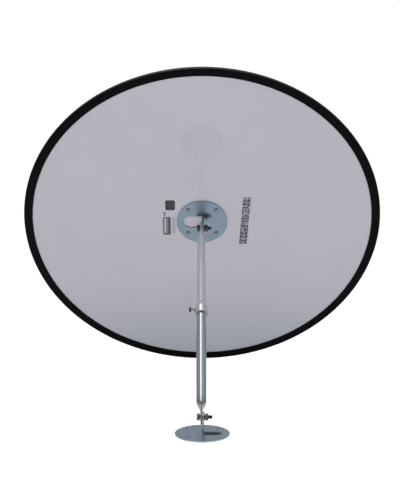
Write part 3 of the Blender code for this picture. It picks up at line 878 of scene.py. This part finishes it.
def hexagon(across_flats, z, face_radius=0.0, rise=0.0):
    """Hexagon ring with blunted corners.  With rise 1 or -1 it drops away from
    face_radius at 30 degrees, down or up."""
    corner_blunting = 0.00012
    corner_r = across_flats / 2.0 / math.cos(math.pi / 6.0) - corner_blunting
    points = []
    for i in range(FASTENER_SEGMENTS):
        angle = 2.0 * math.pi * i / FASTENER_SEGMENTS
        radius = across_flats / 2.0 / math.cos(angle % (math.pi / 3.0) - math.pi / 6.0)
        radius = min(radius, corner_r)
        drop = max(0.0, radius - face_radius) * math.tan(math.radians(30.0)) * rise
        points.append((radius * math.cos(angle), radius * math.sin(angle), z - drop))
    return points


def thread_ring(major, minor, pitch, z):
    """One section through a V thread at height z."""
    root_share, flank_share = 0.12, 0.72
    points = []
    for i in range(FASTENER_SEGMENTS):
        turn = i / FASTENER_SEGMENTS
        phase = (z / pitch - turn) % 1.0
        crest = 1.0 - abs(2.0 * phase - 1.0)
        crest = min(1.0, max(0.0, (crest - root_share) / flank_share))
        radius = minor + (major - minor) * crest
        angle = 2.0 * math.pi * turn
        points.append((radius * math.cos(angle), radius * math.sin(angle), z))
    return points


def hex_bolt(radius, length, across_flats, head_height, pitch, plain):
    """Bolt with its head below z = 0 and its shank above, threaded past plain."""
    dish = across_flats * 0.30
    face = across_flats * HEX_FACE_SHARE
    seat = across_flats * 0.46
    rings = [
        circle(dish * 0.3, -head_height + 0.00010),
        circle(dish, -head_height + 0.00010),
        circle(dish + 0.00025, -head_height),
        circle(face, -head_height),
        hexagon(across_flats, -head_height, face, -1.0),
        hexagon(across_flats, -0.00030),
        hexagon(across_flats - 0.0002, -0.00020),
        circle(seat, -0.00020),
        circle(seat, 0.0),
        circle(radius, 0.0),
        circle(radius, plain),
    ]
    z = plain + pitch / 10.0
    while z < length - 0.0006:
        rings.append(thread_ring(radius, radius - pitch * 0.55, pitch, z))
        z += pitch / 10.0
    rings.append(circle(radius - pitch * 0.55, length - 0.0004))
    rings.append(circle(radius - pitch * 0.85, length))
    return loft(rings, smooth_angle=28.0)


def hex_nut():
    face = BOLT_AF * HEX_FACE_SHARE
    mouth = BOLT_HOLE_R + 0.0005
    bore = BOLT_HOLE_R + 0.00005
    rings = [
        circle(mouth, 0.0),
        circle(face, 0.0),
        hexagon(BOLT_AF, 0.0, face, -1.0),
        hexagon(BOLT_AF, NUT_H, face, 1.0),
        circle(face, NUT_H),
        circle(mouth, NUT_H),
        circle(bore, NUT_H - 0.0005),
    ]
    z = NUT_H - 0.0006
    while z > 0.0006:
        rings.append(thread_ring(BOLT_HOLE_R, BOLT_HOLE_R + BOLT_PITCH * 0.30, BOLT_PITCH, z))
        z -= BOLT_PITCH / 6.0
    rings.append(circle(bore, 0.0005))
    return loft(rings, closed=True, smooth_angle=28.0)


def washer():
    edge = 0.00022
    low, high = edge, WASHER_T - edge
    profile = arc(BOLT_HOLE_R + edge, low, edge, 180.0, 270.0, 3)
    profile += arc(WASHER_R - edge, low, edge, -90.0, 0.0, 4)
    profile += arc(WASHER_R - edge, high, edge, 0.0, 90.0, 4)
    profile += arc(BOLT_HOLE_R + edge, high, edge, 90.0, 180.0, 3)
    return turned(profile, 64, closed=True)


def pivot_fasteners(prefix, matrix, body):
    """Bolt along +x through tube and tab, a washer under its head and its nut."""
    washer_x = TUBE_X - FLAT_T / 2.0 - GAP - WASHER_T
    bolt = hex_bolt(radius=BOLT_R, length=BOLT_LENGTH, across_flats=BOLT_AF,
                    head_height=BOLT_HEAD_H, pitch=BOLT_PITCH, plain=0.0040)
    for part, mesh, x in (
        ("bolt", bolt, washer_x - GAP),
        ("bolt_washer", washer(), washer_x),
        ("nut_washer", washer(), TAB_HIGH_X + GAP),
        ("nut", hex_nut(), TAB_HIGH_X + 2.0 * GAP + WASHER_T),
    ):
        spot = matrix @ Matrix.Translation((x, 0.0, 0.0)) @ ONTO_X
        piece = place(f"{prefix}_{part}_fine", mesh, spot)
        stand_in(piece, body, FASTENER_ZINC)


def slot_ring(half_length, half_width, turn, z):
    """A rectangle turned about z."""
    cosine, sine = math.cos(turn), math.sin(turn)
    corners = [(-half_length, -half_width), (half_length, -half_width),
               (half_length, half_width), (-half_length, half_width)]
    return [(x * cosine - y * sine, x * sine + y * cosine, z) for x, y in corners]


def build_hub_screws():
    """Four cross-recessed pan heads on the hub plate."""
    nut_z = UNDER_PANEL - STIFFENER_T - GAP - SCREW_NUT_H
    head_z = BACK + GAP + PLATE_T + GAP
    shank = head_z - nut_z + 0.0015
    rings = [
        circle(SCREW_R - 0.0005, -shank),
        circle(SCREW_R, -shank + 0.0006),
        circle(SCREW_R, 0.0),
        circle(SCREW_HEAD_R - 0.00015, 0.0),
        circle(SCREW_HEAD_R, 0.00015),
    ]
    for step in range(1, 9):
        angle = step / 9.0 * math.pi / 2.0
        rings.append(circle(SCREW_HEAD_R * math.cos(angle) ** 0.55,
                            SCREW_HEAD_H * (0.30 + 0.70 * math.sin(angle))))
    for k, (angle, spot) in enumerate(fixing_places(head_z)):
        matrix = HEAD @ spot @ Matrix.Rotation(angle, 4, "Z")
        piece = place(f"hub_screw_{k + 1}_fine", loft(rings), matrix)
        first_turn = 0.35 + 0.6 * k  # each recess stands at its own angle
        cross = []
        for turn in (first_turn, first_turn + math.pi / 2.0):
            slot = loft([slot_ring(0.0010, 0.00024, turn, SCREW_HEAD_H - 0.0013),
                         slot_ring(0.0019, 0.00034, turn, SCREW_HEAD_H + 0.0005)])
            cross.append(("DIFFERENCE", place("slot", slot, matrix)))
        carve(piece, cross)
        shade(piece.data, 32.0)
        stand_in(piece, "mirror_head", SCREW_ZINC)


pivot_fasteners("base", BASE_PIVOT_AT, "base")
pivot_fasteners("hub", HEAD, "mirror_head")
build_hub_screws()


# ------------------------------------------------------------------ telescopic arm
def tube_section(radius, half_width, flatness, z):
    """Tube ring blended from round (flatness 0) to flat with round edges (1);
    points are evenly spaced round both outlines."""
    half_thick = FLAT_T / 2.0
    straight = half_width - half_thick
    bend = math.pi * half_thick
    # distances round the flat outline at which bends and straights begin
    first_bend = straight
    long_side = first_bend + bend
    second_bend = long_side + 2.0 * straight
    last_side = second_bend + bend
    total = last_side + straight
    ring = []
    for i in range(TUBE_SEGMENTS):
        angle = 2.0 * math.pi * i / TUBE_SEGMENTS
        travelled = total * i / TUBE_SEGMENTS
        if travelled <= first_bend:
            flat_x, flat_y = half_thick, travelled
        elif travelled <= long_side:
            turn = (travelled - first_bend) / half_thick
            flat_x = half_thick * math.cos(turn)
            flat_y = straight + half_thick * math.sin(turn)
        elif travelled <= second_bend:
            flat_x, flat_y = -half_thick, straight - (travelled - long_side)
        elif travelled <= last_side:
            turn = math.pi + (travelled - second_bend) / half_thick
            flat_x = half_thick * math.cos(turn)
            flat_y = -straight + half_thick * math.sin(turn)
        else:
            flat_x, flat_y = half_thick, -straight + (travelled - last_side)
        round_x, round_y = radius * math.cos(angle), radius * math.sin(angle)
        ring.append((round_x + (flat_x - round_x) * flatness,
                     round_y + (flat_y - round_y) * flatness, z))
    return ring


def flattened_tube(radius, bore, end, flat_until, round_from, mouth, bore_bottom):
    """Tube pressed flat at its pivot end, round and bored at its mouth.
    The last five arguments are stations along z."""
    half_width = (2.0 * math.pi * radius - math.pi * FLAT_T) / 4.0 + FLAT_T / 2.0
    corner = 0.0060  # rounding of the flat end
    rings = []
    for share in (0.0, 0.02, 0.06, 0.12, 0.2, 0.3, 0.45, 0.65, 1.0):
        inset = corner - math.sqrt(corner ** 2 - (corner * (1.0 - share)) ** 2)
        rings.append(tube_section(radius, half_width - inset, 1.0, end + share * corner))
    rings.append(tube_section(radius, half_width, 1.0, flat_until))
    steps = 22
    for k in range(1, steps + 1):
        share = k / steps
        ease = share * share * (3.0 - 2.0 * share)
        rings.append(tube_section(radius, half_width, 1.0 - ease,
                                  flat_until + (round_from - flat_until) * share))
    for share in (0.04, 0.25, 0.5, 0.75, 0.96):
        rings.append(circle(radius, round_from + (mouth - round_from) * share, TUBE_SEGMENTS))
    # (radius, z) round the lip of the mouth and down the bore
    for ring_r, z in (
        (radius, mouth - 0.0010),
        (radius, mouth - 0.00025),
        (radius - 0.00008, mouth - 0.00008),
        (radius - 0.00025, mouth),
        (bore + 0.00015, mouth),
        (bore, mouth - 0.00015),
        (bore, bore_bottom),
    ):
        rings.append(circle(ring_r, z, TUBE_SEGMENTS))
    return loft(rings, smooth_angle=30.0)


OUTER_AT = ARM @ Matrix.Translation((TUBE_X, 0.0, 0.0))
# the inner tube's frame starts at the hub pivot and points back down the arm
INNER_AT = (ARM @ Matrix.Translation((TUBE_X, 0.0, ARM_LENGTH))
            @ Matrix.Rotation(math.pi, 4, "X"))
CLAMP_AT = OUTER_AT @ Matrix.Translation((0.0, 0.0, CLAMP_STATION)) @ ONTO_X


def build_outer_tube():
    mesh = flattened_tube(OUTER_R, OUTER_BORE_R, end=-0.0090, flat_until=0.0110,
                          round_from=0.0280, mouth=OUTER_END, bore_bottom=0.0310)
    piece = place("outer_tube_fine", mesh, OUTER_AT)
    carve(piece, [drill(OUTER_AT @ ONTO_X, BOLT_HOLE_R, -0.01, 0.01, 48),
                  drill(CLAMP_AT, CLAMP_CLEARANCE_R, -0.012, -0.004, 40)])
    shade(piece.data, 30.0)
    stand_in(piece, "outer_arm", OUTER_TUBE_ZINC)
    return piece


def build_inner_tube():
    mesh = flattened_tube(INNER_R, INNER_BORE_R, end=-0.0088, flat_until=0.0100,
                          round_from=0.0270, mouth=ARM_LENGTH - INNER_START,
                          bore_bottom=0.0300)
    piece = place("inner_tube_fine", mesh, INNER_AT)
    carve(piece, [drill(INNER_AT @ ONTO_X, BOLT_HOLE_R, -0.01, 0.01, 48)])
    shade(piece.data, 30.0)
    stand_in(piece, "inner_arm", INNER_TUBE_ZINC)
    return piece


def build_collar():
    """Collar over the outer tube's mouth, stepping in to the inner tube."""
    outer_bore = OUTER_R + GAP
    inner_bore = INNER_R + GAP
    chamfer = 0.0002
    edge = 0.0005
    shoulder = 0.0026
    lip = 0.0007
    profile = [(outer_bore, COLLAR_START + chamfer), (outer_bore + chamfer, COLLAR_START)]
    profile += arc(COLLAR_R - edge, COLLAR_START + edge, edge, -90.0, 0.0, 5)
    profile += arc(COLLAR_R - shoulder, COLLAR_SHOULDER - 0.0006, shoulder, 0.0, 58.0, 8)
    profile += [(0.0091, COLLAR_END - 0.0038), (0.0087, COLLAR_END - 0.0018)]
    profile += arc(0.0079, COLLAR_END - lip, lip, 0.0, 90.0, 5)
    profile += [(inner_bore + chamfer, COLLAR_END), (inner_bore, COLLAR_END - chamfer)]
    profile += [(inner_bore, OUTER_END + GAP), (outer_bore, OUTER_END + GAP)]
    piece = place("clamp_collar_fine", turned(profile, TUBE_SEGMENTS, closed=True), OUTER_AT)
    carve(piece, [drill(CLAMP_AT, CLAMP_R + GAP, -0.014, -0.0078, 40)])
    shade(piece.data, 32.0)
    stand_in(piece, "outer_arm", COLLAR_ZINC)
    return piece


def build_clamp_screw():
    """Hexagon screw entering the collar from -x, its tip just off the pad."""
    pad_x = -INNER_R - GAP - PAD_T
    screw_x = pad_x - GAP - CLAMP_LENGTH
    mesh = hex_bolt(radius=CLAMP_R, length=CLAMP_LENGTH, across_flats=CLAMP_AF,
                    head_height=CLAMP_HEAD_H, pitch=0.0008, plain=0.0006)
    spot = OUTER_AT @ Matrix.Translation((screw_x, 0.0, CLAMP_STATION)) @ ONTO_X
    piece = place("clamp_screw_fine", mesh, spot)
    stand_in(piece, "clamp_screw_body", CLAMP_ZINC)


# the light is too soft for the arm to shade the sheet
for arm_piece in (build_outer_tube(), build_inner_tube(), build_collar()):
    arm_piece.visible_shadow = False
    arm_piece.visible_diffuse = False
build_clamp_screw()

# ------------------------------------------------------------------ CAD nodes kept
BRASS = zinc("turned_brass", colour=(0.62, 0.45, 0.17), rough=0.26,
             mottle=0.08, wear=0.2, own_axes=False)
NUT_ZINC = zinc("zinc_hub_nuts", colour=(0.105, 0.110, 0.120), rough=0.34,
                mottle=0.10, wear=0.45, own_axes=False)
NYLON = moulded("moulded_nylon", colour=(0.78, 0.77, 0.72), rough=0.45)
PLYWOOD = plywood()

for cad_node, cad_material in (
    ("clamp_pad", BRASS),
    ("inner_tube_bush", NYLON),
    ("stiffener_disc", PLYWOOD),
    *((f"hub_screw_nut_{k}", NUT_ZINC) for k in range(1, 5)),
):
    slots = frame["nodes"][cad_node].data.materials
    slots.clear()
    slots.append(cad_material)

# ------------------------------------------------------------------ stage
# the mirror can swing past the plane of its base plate, so the floor lies below
# the lowest point it reaches
FLOOR_DROP = 0.40
FLOOR_GLOW = 0.85
FLOOR_ALBEDO = (0.62, 0.62, 0.63)
GROUND_MIRRORED = 0.85  # brightness of the ground as the back sheet mirrors it
GROUND_RINGS = (0.6, 1.5, 4.0, 10.0, 22.0)
WHITE = (1.0, 1.0, 1.0, 1.0)


def stage_disc(name, z, radii, centre_y=0.3):
    """A flat disc in rings, facing up, with an empty material."""
    count = 96
    build = bmesh.new()
    loops = []
    for radius in radii:
        loops.append([build.verts.new((x, centre_y + y, height))
                      for x, y, height in circle_exact(radius, z, count)])
    build.faces.new(loops[0])
    for low, high in zip(loops, loops[1:]):
        for i in range(count):
            j = (i + 1) % count
            build.faces.new((low[i], high[i], high[j], low[j]))
    mesh = bpy.data.meshes.new(name)
    build.to_mesh(mesh)
    build.free()
    piece = bpy.data.objects.new(name, mesh)
    scene.collection.objects.link(piece)
    material = bpy.data.materials.new(name)
    material.use_nodes = True
    material.node_tree.nodes.clear()
    mesh.materials.append(material)
    piece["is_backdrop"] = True
    return piece, Nodes(material.node_tree)


circle_exact = circle


def show(nodes, hidden, shader):
    """Send shader to the output, transparent where hidden is 1."""
    clear = nodes.shader("ShaderNodeBsdfTransparent")
    output = nodes.node("ShaderNodeOutputMaterial")
    nodes.link(nodes.mix_shader(hidden, shader, clear), output.inputs["Surface"])


def build_floor():
    """Plain pale floor, well below the bracket, open from below."""
    _, nodes = stage_disc("studio_floor", -FLOOR_DROP, GROUND_RINGS)
    path = nodes.node("ShaderNodeLightPath")
    glow = nodes.shader("ShaderNodeEmission", Color=WHITE, Strength=FLOOR_GLOW)
    pale = nodes.shader("ShaderNodeBsdfDiffuse", Color=(0.45, 0.45, 0.45, 1.0))
    seen = nodes.fill(nodes.node("ShaderNodeAddShader"), (glow, pale))
    lit = nodes.shader("ShaderNodeBsdfDiffuse", Color=(*FLOOR_ALBEDO, 1.0))
    shader = nodes.mix_shader(path.outputs["Is Camera Ray"], lit, seen)
    show(nodes, nodes.node("ShaderNodeNewGeometry").outputs["Backfacing"], shader)


def build_table():
    """White surface the base plate lies on.  It only lights and is mirrored,
    from above; to the camera, to shadows and from below it is not there, so the
    mirror can swing past the plane of its base without being cut."""
    piece, nodes = stage_disc("studio_table", -0.0004, GROUND_RINGS)
    piece.visible_shadow = False
    path = nodes.node("ShaderNodeLightPath")
    lit = nodes.shader("ShaderNodeBsdfDiffuse", Color=(*FLOOR_ALBEDO, 1.0))
    # the white ground round the base is what the glossy back sheet mirrors;
    # it fades out towards the foot of the mirror, which shades it
    geometry = nodes.node("ShaderNodeNewGeometry")
    x, y, _ = nodes.xyz(geometry.outputs["Position"])
    beside = nodes.math("ABSOLUTE", x)
    near = nodes.both(
        nodes.remap(beside, source=(0.42, 0.70), to=(1.0, 0.0), smooth=True),
        nodes.both(nodes.remap(y, source=(-0.45, -0.20), to=FULL, smooth=True),
                   nodes.remap(y, source=(0.27, 0.47), to=(1.0, 0.0), smooth=True)))
    near = nodes.both(near, path.outputs["Is Glossy Ray"])
    mirrored = nodes.shader("ShaderNodeEmission", Color=(0.97, 0.985, 1.0, 1.0),
                            Strength=GROUND_MIRRORED)
    ground = nodes.mix_shader(near, lit, mirrored)
    hidden = nodes.either(path.outputs["Is Camera Ray"], geometry.outputs["Backfacing"])
    show(nodes, hidden, ground)


def build_painted_shadow():
    """A painted shadow: a dark glowing disc under the base plate, standing in for the shaded ground
    as it shows through the window.
    """
    _, nodes = stage_disc("studio_painted_shadow", -0.0002, (PLATE_R - 0.0012,), centre_y=0.0)
    path = nodes.node("ShaderNodeLightPath")
    geometry = nodes.node("ShaderNodeNewGeometry")
    x = nodes.xyz(geometry.outputs["Position"])[0]
    # painted shadow: the disc glows dark where there is only shade, deepest under the window
    window_middle, window_half = 0.0155, 0.0185  # darker in this band of x
    inside = nodes.math("COMPARE", x, window_middle, window_half)
    seen = nodes.mix(inside, (0.150, 0.166, 0.182), (0.044, 0.045, 0.050))
    colour = nodes.mix(path.outputs["Is Camera Ray"], (0.40, 0.42, 0.45), seen)
    shader = nodes.shader("ShaderNodeEmission", Color=colour)
    show(nodes, nodes.node("ShaderNodeNewGeometry").outputs["Backfacing"], shader)


def build_world():
    """White to the camera; a soft grey gradient, paler upwards, to the light."""
    ambient = 0.42
    wall_extra = 0.34  # added on the side the mirror faces
    world = bpy.data.worlds.new("studio")
    scene.world = world
    world.use_nodes = True
    world.node_tree.nodes.clear()
    nodes = Nodes(world.node_tree)
    path = nodes.node("ShaderNodeLightPath")
    seen = nodes.shader("ShaderNodeBackground", Color=WHITE, Strength=1.0)
    x, y, z = nodes.xyz(nodes.node("ShaderNodeTexCoord").outputs["Generated"])

    gradient = nodes.node("ShaderNodeValToRGB")
    nodes.link(nodes.remap(z, source=(-0.2, 1.0), to=FULL), gradient.inputs["Fac"])
    low, high = gradient.color_ramp.elements
    low.color = (0.50, 0.51, 0.54, 1.0)
    high.color = WHITE
    high.position = 0.95

    # the side the mirror faces is a paler studio wall, for reflections only
    beside = nodes.math("ABSOLUTE", x, 0.0)
    ahead = nodes.both(nodes.remap(y, source=(0.10, 0.60), to=FULL, smooth=True),
                       nodes.remap(beside, source=(0.40, 0.80), to=(1.0, 0.0), smooth=True))
    ahead = nodes.both(ahead, path.outputs["Is Glossy Ray"])
    strength = nodes.math("ADD", ambient, nodes.math("MULTIPLY", ahead, wall_extra))
    lit = nodes.shader("ShaderNodeBackground", Color=gradient.outputs["Color"],
                       Strength=strength)
    output = nodes.node("ShaderNodeOutputWorld")
    nodes.link(nodes.mix_shader(path.outputs["Is Camera Ray"], lit, seen),
               output.inputs["Surface"])


build_floor()
build_table()
build_painted_shadow()
build_world()


# ------------------------------------------------------------------ lights
def area_light(name, at, size, energy, glossy):
    """Rectangular light, unseen by the camera, shining down until it is turned."""
    light = bpy.data.lights.new(name, "AREA")
    light.shape = "RECTANGLE"
    light.size, light.size_y = size
    light.energy = energy
    lamp = bpy.data.objects.new(name, light)
    scene.collection.objects.link(lamp)
    lamp.location = at
    lamp.visible_camera = False
    lamp.visible_glossy = glossy
    return lamp


def ceiling(name, at, size, radiance, glossy=True):
    """A level overhead panel of a stated brightness."""
    area_light(name, at, size, radiance * math.pi * size[0] * size[1], glossy)


def aim(direction):
    return direction.to_track_quat("-Z", "Y").to_euler()


ceiling("key_strip", at=(-0.52, 0.10, 2.4), size=(0.42, 1.7), radiance=2.1)
ceiling("key_fade", at=(0.14, 0.10, 2.4), size=(0.90, 1.7), radiance=0.56)
ceiling("floor_wash", at=(0.0, 0.0, 2.8), size=(2.6, 2.6), radiance=1.35, glossy=False)
FILL_AT = Vector((0.0, -6.6, 1.70))
FILL_TARGET = Vector((0.0, 0.30, 0.25))
fill = area_light("front_fill", at=FILL_AT, size=(5.0, 5.0), energy=350.0, glossy=False)
fill.rotation_euler = aim(FILL_TARGET - FILL_AT)

# ------------------------------------------------------------------ camera
CAMERA_ELEVATION = math.radians(11.885)
CAMERA_DISTANCE = 3.000
CAMERA_TARGET = Vector((-0.00355, 0.150, 0.2598))
FOCAL_LENGTH_MM = 135.30672

look = Vector((0.0, math.cos(CAMERA_ELEVATION), -math.sin(CAMERA_ELEVATION)))
camera_data = bpy.data.cameras.new("camera")
camera_data.sensor_fit = "AUTO"
camera_data.sensor_width = 36.0
camera_data.lens = FOCAL_LENGTH_MM
camera_data.clip_start = 0.05
camera_data.clip_end = 60.0
camera = bpy.data.objects.new("camera", camera_data)
scene.collection.objects.link(camera)
camera.location = CAMERA_TARGET - look * CAMERA_DISTANCE
camera.rotation_euler = aim(look)
scene.camera = camera
scene.view_settings.view_transform = "Standard"
scene.view_settings.look = "None"
scene.view_settings.exposure = 0.0
scene.view_settings.gamma = 1.0

# ------------------------------------------------------------------ overall size
new_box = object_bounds()


def plain(box):
    return [[float(v) for v in corner] for corner in box]


{"cad": plain(cad_box), "visual": plain(new_box)}
